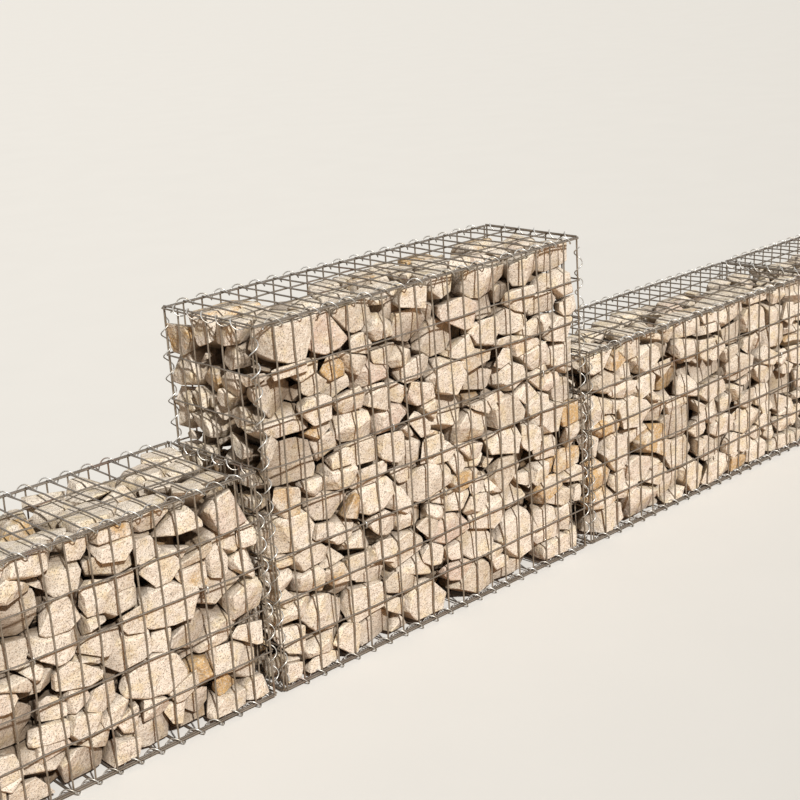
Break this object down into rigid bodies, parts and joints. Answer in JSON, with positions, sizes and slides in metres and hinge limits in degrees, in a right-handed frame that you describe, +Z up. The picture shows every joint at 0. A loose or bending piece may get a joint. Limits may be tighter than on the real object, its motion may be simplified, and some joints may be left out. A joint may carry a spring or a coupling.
{
  "type": "gabion wall",
  "caption": "Low wall of welded mesh baskets filled with angular stone, laced with spiral binders, one basket taller than its neighbours.",
  "frame": {"origin": "on the ground under the middle of the row, halfway between its front and back", "axes": "+X along the wall to the right as seen from the front, +Y from front to back, +Z up"},
  "size_m": [4.1414, 0.335, 0.8333],
  "materials": {
    "mesh_wire": "galvanised, dulled",
    "binder_wire": "galvanised, bright",
    "stone": "broken granite rubble, matt"
  },
  "bodies": {
    "root": {"bay_1_front_panel": "mesh_wire", "bay_1_back_panel": "mesh_wire", "bay_1_left_panel": "mesh_wire", "bay_1_right_panel": "mesh_wire", "bay_1_base_panel": "mesh_wire", "bay_1_lid": "mesh_wire", "bay_1_corner_binders": "binder_wire", "bay_1_lid_binders": "binder_wire", "bay_1_base_binders": "binder_wire", "bay_1_stone_fill": "stone", "bay_1_ties": "mesh_wire", "bay_2_front_panel": "mesh_wire", "bay_2_back_panel": "mesh_wire", "bay_2_left_panel": "mesh_wire", "bay_2_right_panel": "mesh_wire", "bay_2_base_panel": "mesh_wire", "bay_2_lid": "mesh_wire", "bay_2_corner_binders": "binder_wire", "bay_2_lid_binders": "binder_wire", "bay_2_base_binders": "binder_wire", "bay_2_stone_fill": "stone", "bay_2_ties": "mesh_wire", "bay_3_front_panel": "mesh_wire", "bay_3_back_panel": "mesh_wire", "bay_3_left_panel": "mesh_wire", "bay_3_right_panel": "mesh_wire", "bay_3_base_panel": "mesh_wire", "bay_3_lid": "mesh_wire", "bay_3_corner_binders": "binder_wire", "bay_3_lid_binders": "binder_wire", "bay_3_base_binders": "binder_wire", "bay_3_stone_fill": "stone", "bay_3_ties": "mesh_wire", "bay_4_front_panel": "mesh_wire", "bay_4_back_panel": "mesh_wire", "bay_4_left_panel": "mesh_wire", "bay_4_right_panel": "mesh_wire", "bay_4_base_panel": "mesh_wire", "bay_4_lid": "mesh_wire", "bay_4_corner_binders": "binder_wire", "bay_4_lid_binders": "binder_wire", "bay_4_base_binders": "binder_wire", "bay_4_stone_fill": "stone", "bay_4_ties": "mesh_wire"}
  },
  "joints": []
}
